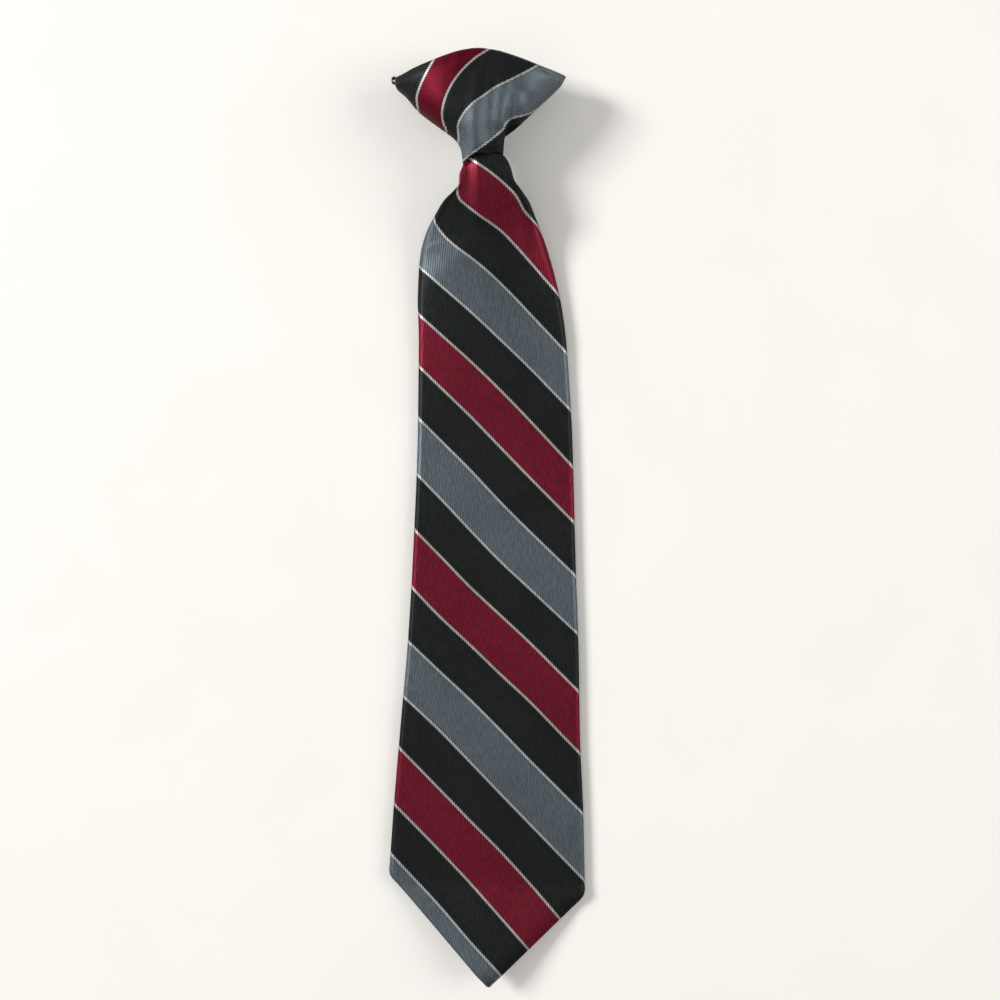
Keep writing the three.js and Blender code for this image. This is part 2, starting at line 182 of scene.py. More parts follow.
def smooth_path(points, run_out, step=0.6):
    """More points on a smooth curve through the given ones, with straight run-outs."""
    points = np.array(points, float)
    legs = np.linalg.norm(np.diff(points, axis=0), axis=1)
    length = np.concatenate([[0], np.cumsum(legs)])
    places = np.linspace(0, length[-1], max(4, int(length[-1] / step)))
    ways = np.gradient(points, length, axis=0)
    leg = np.clip(np.searchsorted(length, places) - 1, 0, len(legs) - 1)
    h = legs[leg][:, None]
    t = ((places - length[leg])[:, None]) / h
    start, end = points[leg], points[leg + 1]
    curve = (
        (2 * t**3 - 3 * t**2 + 1) * start
        + (t**3 - 2 * t**2 + t) * h * ways[leg]
        + (3 * t**2 - 2 * t**3) * end
        + (t**3 - t**2) * h * ways[leg + 1]
    )
    first = curve[0] - (curve[1] - curve[0]) * run_out / step
    last = curve[-1] + (curve[-1] - curve[-2]) * run_out / step
    return np.vstack([first, curve, last])


print("half way up an even curve:", float(ease(0.5)))

# %% [markdown]
# ## Sizes of the tie
#
# These are the sizes that the solids were made from. The cloth is built from them again, in
# finer steps, so that it lies where the solids are. Only the blade is pressed a little flatter
# than its solid, which is 3.2 mm thick, and further on the knot's wings are bent back.

# %% Name the sizes in millimetres
TIE_LENGTH = 280
BLADE_WIDTH = 59.6
KNOT_LENGTH = 32.6
KNOT_WIDTH = 51
KNOT_DEPTH = 15
THROAT_WIDTH = 12
THROAT_DEPTH = 10.4
THROAT_SHIFT = -0.85
NECK_TUCK = 15
CLOTH_WALL = 1.2
HEM_WIDTH = 10
TIP_LIFT = 7
CLEARANCE = 0.3
CLIP_METAL = 1
COLLAR_GAP = 5
BLADE_THICKNESS = 2.8

KNOT_BACK = 2 * CLIP_METAL + COLLAR_GAP + CLEARANCE
KNOT_TOP = TIE_LENGTH / 2
THROAT_Y = KNOT_TOP - KNOT_LENGTH
BLADE_TOP = THROAT_Y - CLEARANCE
BLADE_LENGTH = BLADE_TOP + TIE_LENGTH / 2
NECK_HALF = THROAT_WIDTH / 2 - CLOTH_WALL - CLEARANCE
NECK_DEPTH = THROAT_DEPTH - 2 * (CLOTH_WALL + CLEARANCE)
NECK_LIFT = KNOT_BACK + CLOTH_WALL + CLEARANCE
print("the knot's back is", KNOT_BACK, "mm up, and the blade is", round(BLADE_LENGTH, 1), "mm")

# %% [markdown]
# ## Folds in cloth
#
# Where the knot squeezes the cloth, it gathers into soft ridges and valleys that die away
# further down. Each one is a short path with a width and a height. Adding them to a smooth
# surface is quicker than a cloth simulation here, and puts each fold where the real one is.

# %% Raise and press folds along paths
def fold_heights(x, y, folds):
    """The sum of the folds at each place. A fold is its path, its half width at both ends and
    its height at both ends."""
    height = np.zeros(np.shape(x))
    for path, (wide_start, wide_end), (high_start, high_end) in folds:
        away, along = near_path(x, y, path)
        wide = mix(wide_start, wide_end, along)
        height += mix(high_start, high_end, ease(along)) * np.exp(-((away / wide) ** 2))
    return height


def step_heights(x, y, steps):
    """Places where one layer ends over another: the surface drops to the right of a path."""
    height = np.zeros(np.shape(x))
    for path, wide, (drop_start, drop_end) in steps:
        away, along = near_path(x, y, path)
        height -= mix(drop_start, drop_end, along) * ease(away / wide * 0.5 + 0.5)
    return height


# %% [markdown]
# ## The blade
#
# The blade is one piece of cloth whose two sides are folded to the back, where they meet in a
# seam. So its section is a flat tube with rolled edges, open along the back. Below the seam
# the flaps part over the point, where a narrow hem is turned up. A loft through many such
# sections gives both sides of the cloth at once. A single sheet with a solidify modifier
# would lose the soft rolled edges.

# %% Tabulate the blade from the throat to its corners
BLADE = table(
    "down left right lift arch thick",
    (0.0, 0.0, 0.0, 1.0, 0.0, 1.0),
    (0.0012, 0.06, 0.07, 1.0, 0.0, 1.0),
    (0.004, 0.072, 0.1, 0.99, 0.0, 1.03),
    (0.013, 0.106, 0.147, 0.965, 0.0, 1.05),
    (0.025, 0.116, 0.187, 0.925, 0.03, 1.01),
    (0.034, 0.175, 0.263, 0.885, 0.06, 0.95),
    (0.046, 0.3, 0.357, 0.82, 0.12, 0.86),
    (0.063, 0.42, 0.435, 0.73, 0.26, 0.68),
    (0.082, 0.529, 0.515, 0.63, 0.38, 0.5),
    (0.105, 0.599, 0.595, 0.51, 0.42, 0.34),
    (0.13, 0.626, 0.664, 0.4, 0.36, 0.2),
    (0.164, 0.638, 0.74, 0.27, 0.25, 0.1),
    (0.21, 0.625, 0.798, 0.13, 0.09, 0.03),
    (0.26, 0.63, 0.833, 0.04, 0.03, 0.0),
    (0.32, 0.637, 0.866, 0.0, 0.0, 0.0),
    (0.484, 0.702, 0.91, 0.0, 0.0, 0.0),
    (0.583, 0.762, 0.942, 0.0, 0.0, 0.0),
    (0.681, 0.848, 0.958, 0.0, 0.0, 0.0),
    (0.78, 0.933, 0.998, 0.0, 0.0, 0.0),
    (0.873, 1.0, 1.016, 0.0, 0.0, 0.0),
)
LEFT_CORNER, RIGHT_CORNER = 0.873, 0.899
POCKET_TOP, CURL_START = 0.76, 0.884
POINT_WIDTH, POINT_SHIFT, POINT_DROP = 1.4, 0.75, 0.85
print("the blade's table has", len(BLADE["down"]), "rows")

# %% [markdown]
# Below the throat a soft ridge runs down the neck, left of its middle, with a crease along
# the right side and a rounded shoulder further down on the left. At each of two steps one
# layer ends over another. A fold is its path, its half widths and its heights at both ends.

# %% Place the folds of the neck
NECK_FOLDS = [
    ([(-2.2, 109), (-2.2, 102), (-2.3, 92)], (2.6, 3.0), (0.6, 0.4)),
    ([(5.6, 104), (8.6, 98), (11.8, 88), (13.6, 74)], (1.0, 2.5), (-0.55, 0.0)),
    ([(-16.0, 73.2), (-14.2, 74.7), (-7.0, 79.8)], (4.2, 4.2), (0.2, 0.4)),
]
NECK_STEPS = [
    ([(5.0, 106), (8.4, 98.5), (11.2, 90), (13.4, 76)], 1.6, (0.5, 0.0)),
    ([(-3.7, 110), (-3.7, 100), (-3.9, 91), (-4.6, 82)], 1.8, (1.1, 0.0)),
]
print("the neck has", len(NECK_FOLDS), "folds and", len(NECK_STEPS), "steps")


# %% Find the two sides of the blade
def blade_sides(down):
    """How far the two sides of the blade reach from the tie's middle line, and the rounding
    of the corners above the point."""
    sides = []
    for column, sign, corner, round_by in (
        ("left", -1, LEFT_CORNER, 0.25),
        ("right", 1, RIGHT_CORNER, 0.45),
    ):
        out = read(BLADE, "down", column, down / corner * LEFT_CORNER)
        above = mix(sign * THROAT_SHIFT + NECK_HALF, BLADE_WIDTH / 2, out)
        point = POINT_WIDTH / 2 + sign * POINT_SHIFT
        widest = mix(sign * THROAT_SHIFT + NECK_HALF, BLADE_WIDTH / 2, BLADE[column][-1])
        to_point = mix(widest, point, (down - corner) / (1 - corner))
        gap = np.abs(above - to_point)
        soft = round_by * np.exp(-((gap / (3 * round_by)) ** 2)) * (down > 0.6)
        sides.append(sign * (np.minimum(above, to_point) - soft))
    return sides


print("half way down, the sides are at", [round(float(side), 1) for side in blade_sides(0.5)])

# %% [markdown]
# One section is drawn flat first: the left and right halves mirror each other, and each is a
# flap, a half circle and half of the front. It also says how far along the flat cloth each
# point is, which later tells where the stripes go on the rolled edges and the back.

# %% Lay out one section of folded cloth
FLAP_STEPS, ROLL_STEPS, FRONT_STEPS = 14, 24, 56


def tube(half, roll_height, roll_width, lip):
    """A flat open tube: out along one flap, round the edge, over the front and back again.

    It gives the places across, their heights as a share of the roll and the distance along
    the cloth from the middle of the front."""
    flat = half - roll_width
    turn = np.pi * (roll_height + roll_width) / 2
    flap = np.linspace(lip, flat, FLAP_STEPS, endpoint=False)
    angle = np.linspace(0, np.pi, ROLL_STEPS, endpoint=False)
    front = np.linspace(flat, 0, FRONT_STEPS // 2, endpoint=False)
    across = np.concatenate([flap, flat + roll_width * np.sin(angle), front])
    height = np.concatenate([0 * flap - 1, -np.cos(angle), 0 * front + 1])
    cloth = np.concatenate([turn + 2 * flat - flap, flat + turn * (1 - angle / np.pi), front])
    half_way = [np.concatenate([a, [m], s * a[::-1]]) for a, m, s in
                ((across, 0, -1), (height, 1, 1), (cloth, 0, -1))]
    return half_way


print("a section 40 mm wide has", len(tube(20, 1.4, 1.4, 0.3)[0]), "points on each side of it")

# %% [markdown]
# Now each section takes its place. The neck is raised where it goes into the knot and arched
# under itself, and the point curls up. The seam has a shallow groove, and the front slopes
# down along the right edge of the point, which is darker there.

# %% Shape one section of the blade
SEAM_GROOVE, GROOVE_WIDTH = 0.45, 1.5
TURNED_WIDTH, TURNED_DROP = 10, 2.2
CURL_POWER = 1.1
SLANT_END, FOLDS_END = 0.05, 0.3


def rim_rise(across):
    """How far the knot's slanting lower rim rises above a level line, from left to right."""
    rise = 0.65 * (1 - across**2) + 1.3 * ease((across - 0.1) / 0.9)
    return rise - 1.2 * ease((-across - 0.5) / 0.5)


def blade_ring(y, down):
    """The closed outline of the cloth at one place down the blade, in millimetres, with the
    place on the flat cloth that each point comes from."""
    left, right = blade_sides(down)
    station = {name: float(read(BLADE, "down", name, down)) for name in ("lift", "arch", "thick")}
    middle, half = (left + right) / 2, (right - left) / 2
    thickness = mix(BLADE_THICKNESS, NECK_DEPTH, station["thick"])
    thickness *= 1 - 0.45 * ease((down - 0.985) / 0.015)
    curl = TIP_LIFT * np.clip((down - CURL_START) / (1 - CURL_START), 0, 1) ** CURL_POWER
    parted = np.clip((down - POCKET_TOP) / (LEFT_CORNER - POCKET_TOP), 0, 1)
    lip = min(max(0.32, (half - HEM_WIDTH) * parted), half * 0.8)

    def under(x):
        drop = NECK_LIFT * station["arch"] * ((x - middle) / half) ** 2
        return curl + NECK_LIFT * station["lift"] - drop

    def surface(inset):
        roll = max((thickness - 2 * inset) / 2, 0.2)
        reach = max(half - inset, half * 0.35)
        rounding = mix(0.38, 1.15, ease((down - 0.03) / 0.07)) if inset == 0 else 1.0
        wide = min(roll * rounding, reach)
        across, height, cloth = tube(reach, roll, wide, min(lip + inset * 0.1, reach - wide))
        x = middle + across
        z = under(x) + thickness / 2 + roll * height
        top = (height + 1) / 2
        turned = np.clip(1 - (right - x) / TURNED_WIDTH, 0, 1)
        turned = turned * ease((down - RIGHT_CORNER) / 0.03 + 0.5)
        groove = SEAM_GROOVE * np.exp(-((across / GROOVE_WIDTH) ** 2))
        z = z + groove * (1 - top) * (down > 0)
        crown = 0.5 * (1 - (across / half) ** 2) * ease((down - 0.04) / 0.15)
        fade = 1 - ease(np.abs(across / half) * 6 - 5)
        shape = fold_heights(x, y, NECK_FOLDS) + step_heights(x, y, NECK_STEPS)
        shape = shape * fade * ease(down / 0.006) * (down < FOLDS_END)
        z = z + top * (crown + shape - TURNED_DROP * turned**2)
        slanting = ease((SLANT_END - down) / SLANT_END)
        slant = y + rim_rise(np.clip(across / half, -1, 1)) * slanting
        return np.stack([x, slant, z], 1), np.stack([middle + cloth, slant], 1)

    outer, outer_cloth = surface(0)
    inner, inner_cloth = surface(CLOTH_WALL)
    lips = []
    for end, sign in ((-1, -1), (0, 1)):
        a, b = outer[end], inner[end]
        bulge = np.array([-sign * min(0.28, lip * 0.8), 0, 0])
        lips.append(np.stack([mix(a, b, 0.2) + bulge * 0.8, mix(a, b, 0.5) + bulge,
                              mix(a, b, 0.8) + bulge * 0.8]))
    ring = np.vstack([outer, lips[0], inner[::-1], lips[1][::-1]])
    cloth = np.vstack([outer_cloth, np.repeat(outer_cloth[-1:], 3, 0), inner_cloth[::-1],
                       np.repeat(inner_cloth[:1], 3, 0)])
    return ring, cloth


print("the rim rises", round(float(rim_rise(np.array(0.0))), 2), "mm in its middle")

# %% Stack the sections from the neck to the point
rows = [(BLADE_TOP + up, 0.0) for up in (NECK_TUCK, 12, 9, 6, 4, 2.5, 1.2)]
downs = np.concatenate([
    [0, 0.0004, 0.0008, 0.0012, 0.0018],
    np.linspace(0.0026, 0.16, 60, endpoint=False),
    np.linspace(0.16, LEFT_CORNER - 0.01, 150, endpoint=False),
    np.linspace(LEFT_CORNER - 0.01, RIGHT_CORNER + 0.01, 20, endpoint=False),
    np.linspace(RIGHT_CORNER + 0.01, 1, 44),
])
drops = POINT_DROP * np.clip((downs - RIGHT_CORNER) / (1 - RIGHT_CORNER), 0, 1)
rows += [(BLADE_TOP - down * BLADE_LENGTH - drop, float(down)) for down, drop in zip(downs, drops)]
blade_rings, blade_cloth_places = zip(*(blade_ring(y, down) for y, down in rows))
RING = len(blade_rings[0])
TUBE = (RING - 6) // 2
print("the blade has", len(rows), "sections of", RING, "points")


# %% [markdown]
# ## The stripes
#
# The cloth is woven with stripes that run down to the right: dark red, black, blue grey and
# black again, with a thin pale line between any two. The pale lines are measured, a few
# points for each. Every point of the mesh then stores the number of the nearest line and how
# far it is from it, and also the number of the rib that it is on. The shader paints from
# these two numbers, so the pattern bends with the cloth. A projected pattern could not do
# that on the rolled edges.

# %% Draw the pale lines on the blade
STRIPE_PITCH = 12.0
NECK_LINES = [
    [(-5.2, 110.9), (-2.4, 109.2), (2.5, 105.7), (6.7, 102.0), (8.5, 100.2), (9.9, 98.1),
     (11.0, 95.9), (12.2, 94.1), (13.8, 92.4), (15.6, 90.7), (17.2, 88.5), (28.0, 77.0)],
    [(-9.7, 103.4), (-9.0, 101.0), (-8.7, 99.5), (-8.0, 98.1), (-6.6, 96.9), (-5.0, 95.6),
     (-2.4, 93.6), (1.8, 90.7), (4.2, 88.9), (8.8, 84.3), (13.4, 79.1), (18.0, 73.8),
     (22.2, 69.0)],
    [(-17.2, 93.4), (-14.7, 89.3), (-13.0, 87.1), (-9.6, 84.0), (-5.0, 80.6), (-0.4, 76.9),
     (4.2, 72.6), (8.8, 68.0), (13.4, 63.1), (18.0, 58.2), (22.6, 53.3)],
]
LINE_COLUMNS = (-26.5, -14.2, -5.0, 4.2, 13.4, 22.6)
LINE_HEIGHTS = [
    (82.7, 72.0, 64.0, 55.4, 46.5, 37.0),
    (68.1, 57.0, 48.7, 39.8, 30.3, 20.4),
    (52.6, 40.7, 31.8, 22.3, 12.8, 3.5),
    (36.7, 24.4, 15.2, 5.4, -3.8, -12.7),
    (19.2, 6.6, -3.2, -12.7, -21.3, -29.9),
    (1.3, -11.2, -20.7, -29.3, -37.9, -47.1),
    (-16.9, -29.9, -38.5, -47.4, -56.0, -65.5),
    (-35.1, -46.8, -55.4, -64.6, -74.1, -83.3),
    (-53.3, -64.9, -74.4, -84.0, -93.5, -103.0),
    (-70.4, -83.0, -92.5, -101.8, -111.9, -122.6),
    (-89.2, -101.8, -111.6, -122.0, -132.5, -142.9),
    (-105.7, -118.9, -129.7, -139.8, -150.3, -160.7),
]
BLADE_LINES = NECK_LINES + [list(zip(LINE_COLUMNS, heights)) for heights in LINE_HEIGHTS]
print("the blade has", len(BLADE_LINES), "pale lines")


# %% Number the stripes and the ribs
def seen(x, y, height):
    """Where a place that is raised above the table seems to be, seen from the camera."""
    nearer = CAMERA_HEIGHT / (CAMERA_HEIGHT - height)
    return mix(CAMERA_X, x, nearer), mix(CAMERA_Y, y, nearer)


def stripe_numbers(x, y, lines, run_out, first=0):
    """The number of the nearest pale line, plus the distance past it in stripe widths."""
    nearest = np.full(np.shape(x), np.inf)
    number = np.zeros(np.shape(x))
    for index, points in enumerate(lines):
        away, _ = near_path(x, y, smooth_path(points, run_out))
        closer = np.abs(away) < np.abs(nearest)
        nearest = np.where(closer, away, nearest)
        number = np.where(closer, first + index, number)
    return number + np.clip(nearest / STRIPE_PITCH, -0.5, 0.5)


def blade_ribs(x, y):
    """Which rib of the cloth a place is on. The ribs lean to the right towards the knot."""
    lean = 0.14 * y - 0.0003 * y * y
    return (x - lean) / (0.712 - 0.00022 * y)


print("the full width has about", round(float(blade_ribs(BLADE_WIDTH, 0.0))), "ribs")


# %% Build a mesh that carries its weave
def loft(rings):
    """Quads between neighbouring rings."""
    count = len(rings[0])
    faces = []
    for row in range(len(rings) - 1):
        for i in range(count):
            j = (i + 1) % count
            a, b = row * count, (row + 1) * count
            faces.append((a + i, a + j, b + j, b + i))
    return faces


def cloth_piece(name, points, faces, weave, materials, inside=None):
    """A smooth mesh object. Weave holds the rib and stripe number of every point, and inside
    says which points are on the wrong side of the cloth."""
    mesh = bpy.data.meshes.new(name)
    mesh.from_pydata((np.array(points) * MM).tolist(), [], faces)
    corners = np.zeros(len(mesh.loops), dtype=np.int32)
    mesh.loops.foreach_get("vertex_index", corners)
    layer = mesh.uv_layers.new(name="weave")
    layer.data.foreach_set("uv", np.array(weave, float)[corners].ravel())
    for material in materials:
        mesh.materials.append(material)
    if inside is not None:
        for polygon in mesh.polygons:
            if all(inside[v] for v in polygon.vertices):
                polygon.material_index = 1
    shape = bmesh.new()
    shape.from_mesh(mesh)
    bmesh.ops.recalc_face_normals(shape, faces=shape.faces)
    shape.to_mesh(mesh)
    shape.free()
    mesh.shade_smooth()
    piece = bpy.data.objects.new(name, mesh)
    bpy.context.collection.objects.link(piece)
    area = sum(polygon.area for polygon in mesh.polygons)
    print(name, "has", len(mesh.polygons), "faces and", round(area / 2, 5), "m2 of cloth")
    return piece


# %% [markdown]
# ## The weave as shader groups
#
# Both pieces of cloth share the pattern, so it is made once as node groups that give out
# colours and heights. The first turns the stripe number into the four colours. The pale
# lines step from rib to rib, because each rib is one thread, so the stripe number is held
# still across a rib before it is compared. The second gives the round backs of the ribs, and
# a painted shade that darkens the grooves between them.

# %% Help with nodes
def start_group(name, inputs, outputs):
    """A shader node group with named sockets, a tuple of numbers for a colour."""
    tree = bpy.data.node_groups.new(name, "ShaderNodeTree")
    for way, sockets in (("INPUT", inputs), ("OUTPUT", outputs)):
        for label, value in sockets.items():
            kind = "NodeSocketColor" if isinstance(value, tuple) else "NodeSocketFloat"
            socket = tree.interface.new_socket(label, in_out=way, socket_type=kind)
            if way == "INPUT":
                socket.default_value = value
    return tree, tree.nodes.new("NodeGroupInput").outputs, tree.nodes.new("NodeGroupOutput").inputs


def plug(tree, value, socket):
    """A wire from another node's output, or a plain number or colour."""
    if isinstance(value, bpy.types.NodeSocket):
        tree.links.new(value, socket)
    else:
        socket.default_value = value


def calc(tree, operation, *values):
    node = tree.nodes.new("ShaderNodeMath")
    node.operation = operation
    for value, socket in zip(values, node.inputs):
        plug(tree, value, socket)
    return node.outputs[0]


def spread(tree, value, low, high, to_low=0.0, to_high=1.0):
    """Eases from one number to another while the value goes from low to high."""
    node = tree.nodes.new("ShaderNodeMapRange")
    node.interpolation_type = "SMOOTHSTEP"
    for item, socket in zip((value, low, high, to_low, to_high), node.inputs):
        plug(tree, item, socket)
    return node.outputs[0]


def tint(tree, share, first, second, how="MIX"):
    """Mixes two colours."""
    node = tree.nodes.new("ShaderNodeMix")
    node.data_type = "RGBA"
    node.blend_type = how
    plug(tree, share, node.inputs["Factor"])
    plug(tree, first, node.inputs[6])
    plug(tree, second, node.inputs[7])
    return node.outputs[2]


def cloud(tree, scale, detail=2.0, stretch=(1, 1, 1)):
    """A soft noise from 0 to 1 in the piece's own space, stretched along the axes."""
    place = tree.nodes.new("ShaderNodeTexCoord").outputs["Object"]
    turn = tree.nodes.new("ShaderNodeMapping")
    turn.inputs["Scale"].default_value = stretch
    plug(tree, place, turn.inputs["Vector"])
    noise = tree.nodes.new("ShaderNodeTexNoise")
    noise.inputs["Scale"].default_value = scale
    noise.inputs["Detail"].default_value = detail
    tree.links.new(turn.outputs[0], noise.inputs["Vector"])
    return noise.outputs[0]


def start_material(name):
    """A new material, its node tree and the inputs of its Principled shader."""
    material = bpy.data.materials.new(name)
    material.use_nodes = True
    return material, material.node_tree, material.node_tree.nodes["Principled BSDF"].inputs


def emboss(tree, height, depth, normal):
    """Relief of a small depth in metres, which only bends the light."""
    bump = tree.nodes.new("ShaderNodeBump")
    bump.inputs["Distance"].default_value = depth
    plug(tree, height, bump.inputs["Height"])
    plug(tree, bump.outputs[0], normal)


print("helpers:", [helper.__name__ for helper in (plug, calc, spread, tint, cloud, emboss)])


# %% [markdown]
# In the striped pattern, whole stripe numbers are pale lines, and the four bands between them
# follow from the number divided by four. Each line has a dark edge of painted shade beside the
# raised thread, and in the black bands a faint second dark line. The line itself is beaded by
# the ribs and twisted from two plies, and the grooves between its beads and plies are painted
# darker as shade.

# %% Make the striped pattern
LINE_SOFTNESS = 0.006
# Dark colour of the painted shade beside each pale line.
LINE_EDGE_SHADE = (0.004, 0.006, 0.005, 1)


def make_stripes():
    tree, given, out = start_group(
        "woven_stripes",
        {"Rib": 0.0, "Stripe": 0.0, "Line Width": 0.056, "Step": 0.024,
         "Red": (1, 0, 0, 1), "Grey": (0.5, 0.5, 0.5, 1), "Black": (0, 0, 0, 1),
         "Pale": (1, 1, 1, 1), "Pale by Red": (1, 1, 1, 1)},
        {"Color": (1, 1, 1, 1), "Pale Line": 0.0, "Black Band": 0.0},
    )
    across = calc(tree, "SUBTRACT", calc(tree, "FRACT", given["Rib"]), 0.5)
    held = calc(tree, "SUBTRACT", given["Stripe"], calc(tree, "MULTIPLY", across, given["Step"]))
    off = calc(tree, "ABSOLUTE", calc(tree, "SUBTRACT", held, calc(tree, "ROUND", held)))
    half = calc(tree, "MULTIPLY", given["Line Width"], 0.5)
    line = spread(tree, off, calc(tree, "SUBTRACT", half, LINE_SOFTNESS),
                  calc(tree, "ADD", half, LINE_SOFTNESS), 1.0, 0.0)

    turn = calc(tree, "FRACT", calc(tree, "DIVIDE", given["Stripe"], 4.0))
    red = calc(tree, "LESS_THAN", turn, 0.25)
    grey = calc(tree, "COMPARE", turn, 0.625, 0.125)
    bands = tint(tree, grey, tint(tree, red, given["Black"], given["Red"]), given["Grey"])
    black = calc(tree, "MAXIMUM", calc(tree, "SUBTRACT", calc(tree, "SUBTRACT", 1.0, red), grey),
                 0.0)

    # Painted shade: a dark edge beside each raised pale line, and a faint second line in the black
    # bands.
    edge = spread(tree, off, half, calc(tree, "ADD", half, 0.035), 0.6, 0.0)
    second = calc(tree, "ABSOLUTE", calc(tree, "SUBTRACT", off, calc(tree, "ADD", half, 0.1)))
    second = calc(tree, "MULTIPLY", spread(tree, second, 0.0, 0.025, 0.35, 0.0), black)
    edge = calc(tree, "MAXIMUM", edge, second)
    bands = tint(tree, edge, bands, LINE_EDGE_SHADE)

    # Painted shade: the pale thread is darker in the grooves between its beads and its plies.
    bead = spread(tree, calc(tree, "ABSOLUTE", across), 0.25, 0.5, 1.0, 0.75)
    signed = calc(tree, "DIVIDE", calc(tree, "SUBTRACT", held, calc(tree, "ROUND", held)), half)
    ply = calc(tree, "FRACT", calc(tree, "MULTIPLY_ADD", signed, 0.45, given["Rib"]))
    ply = spread(tree, calc(tree, "ABSOLUTE", calc(tree, "SUBTRACT", ply, 0.5)), 0.08, 0.26,
                 0.62, 1.0)
    ply = calc(tree, "MAXIMUM", ply, spread(tree, calc(tree, "ABSOLUTE", signed), 0.4, 0.8))

    beside = calc(tree, "MULTIPLY_ADD", calc(tree, "ROUND", held), 0.25, 0.125)
    by_red = calc(tree, "LESS_THAN", calc(tree, "FRACT", beside), 0.5)
    pale = tint(tree, by_red, given["Pale"], given["Pale by Red"])
    thread = tint(tree, 1.0, pale, calc(tree, "MULTIPLY", bead, ply), "MULTIPLY")
    plug(tree, tint(tree, line, bands, thread), out["Color"])
    plug(tree, line, out["Pale Line"])
    plug(tree, black, out["Black Band"])
    return tree


STRIPES = make_stripes()
print("group", STRIPES.name, "gives", [s.name for s in STRIPES.interface.items_tree])


# %% Make the ribs of the weave
def make_ribs():
    tree, given, out = start_group(
        "ribbed_weave",
        {"Rib": 0.0, "Strength": 1.0, "Thread": 0.0},
        {"Height": 0.0, "Shade": 0.0},
    )
    wave = calc(tree, "COSINE", calc(tree, "MULTIPLY", calc(tree, "SUBTRACT", given["Rib"], 0.5),
                                     2 * math.pi))
    back = calc(tree, "POWER", calc(tree, "MULTIPLY_ADD", wave, 0.5, 0.5), 0.6)
    high = calc(tree, "MULTIPLY", back, given["Strength"])
    plug(tree, calc(tree, "ADD", high, calc(tree, "MULTIPLY", given["Thread"], 0.25)),
         out["Height"])
    # Painted shade: the colour is darkened in the grooves between the ribs.
    dark = calc(tree, "MULTIPLY", calc(tree, "SUBTRACT", 1.0, back), given["Strength"])
    plug(tree, calc(tree, "SUBTRACT", 1.0, calc(tree, "MULTIPLY", dark, 0.42)), out["Shade"])
    return tree


RIBS = make_ribs()
print("group", RIBS.name, "gives", [s.name for s in RIBS.interface.items_tree])


# %% [markdown]
# ## Satin cloth
#
# The face of the cloth has a soft sheen that takes the colour of its threads, so the shader
# is partly metallic, which tints the gloss. The red and grey bands are ribbed. The black
# ones are woven almost flat. Its wrong side, which shows at the back of the point, is the
# same pattern but duller and darker.

# %% Mix the cloth
def cloth_material(name, colours, metallic, roughness, relief, ribbing=1.0, line_width=0.056):
    material, tree, shader = start_material(name)
    shader["Metallic"].default_value = metallic
    shader["Specular IOR Level"].default_value = 0.15
    shader["Specular Tint"].default_value = (0.4, 0.4, 0.4, 1)

    weave = tree.nodes.new("ShaderNodeUVMap")
    weave.uv_map = "weave"
    split = tree.nodes.new("ShaderNodeSeparateXYZ")
    tree.links.new(weave.outputs[0], split.inputs[0])
    rib, stripe = split.outputs[0], split.outputs[1]
    yarn = cloud(tree, 900, 2.0, (2.2, 0.5, 1))
    patch = cloud(tree, 60, 3.0)

    stripes = tree.nodes.new("ShaderNodeGroup")
    stripes.node_tree = STRIPES
    ribs = tree.nodes.new("ShaderNodeGroup")
    ribs.node_tree = RIBS
    given = {"Rib": rib, "Stripe": stripe, "Line Width": line_width, **colours}
    for label, value in given.items():
        plug(tree, value, stripes.inputs[label])
    strength = calc(tree, "MULTIPLY_ADD", stripes.outputs["Black Band"], -0.8 * ribbing, ribbing)
    strength = calc(tree, "MAXIMUM", strength, stripes.outputs["Pale Line"])
    for label, value in {"Rib": rib, "Strength": strength, "Thread": yarn}.items():
        plug(tree, value, ribs.inputs[label])

    # The painted groove shade of the ribs, times a random tone of the yarn and of patches.
    shade = calc(tree, "MULTIPLY", ribs.outputs["Shade"],
                 spread(tree, yarn, 0.3, 0.7, 0.88, 1.1))
    shade = calc(tree, "MULTIPLY", shade, spread(tree, patch, 0.35, 0.65, 0.95, 1.06))
    colour = tint(tree, 1.0, stripes.outputs["Color"], shade, "MULTIPLY")
    plug(tree, colour, shader["Base Color"])
    plug(tree, spread(tree, yarn, 0.3, 0.7, roughness - 0.04, roughness + 0.06),
         shader["Roughness"])
    emboss(tree, ribs.outputs["Height"], relief, shader["Normal"])
    return material


# %% [markdown]
# The blade, the knot and the wrong side are three mixes of it. On the knot the cloth is
# stretched, so its ribs are flatter and its lines thinner. Its red is a darker copy of the
# blade's red: painted shade, as the same cloth looks darker on the knot.

# %% Mix the three cloths
COLOURS = {"Red": (0.172, 0.0145, 0.03, 1), "Grey": (0.119, 0.146, 0.17, 1),
           "Black": (0.0175, 0.0205, 0.0205, 1), "Pale": (0.54, 0.56, 0.585, 1),
           "Pale by Red": (0.57, 0.52, 0.53, 1)}
satin = cloth_material("striped_satin", COLOURS, metallic=0.65, roughness=0.42, relief=0.00003)
# Painted shade: the knot's red is a darker copy of the same cloth's red.
KNOT_SHADED_COLOURS = {**COLOURS, "Red": (0.104, 0.0055, 0.0148, 1)}
smooth_satin = cloth_material("stretched_satin", KNOT_SHADED_COLOURS, metallic=0.65, roughness=0.5,
                              relief=0.00003, ribbing=0.35, line_width=0.05)
wrong_side = cloth_material(
    "wrong_side",
    {"Red": (0.05, 0.012, 0.018, 1), "Grey": (0.045, 0.05, 0.055, 1),
     "Black": (0.014, 0.014, 0.015, 1), "Pale": (0.11, 0.1, 0.105, 1),
     "Pale by Red": (0.11, 0.09, 0.09, 1)},
    metallic=0.0, roughness=0.8, relief=0.00003,
)
print("cloths:", [cloth.name for cloth in (satin, smooth_satin, wrong_side)])
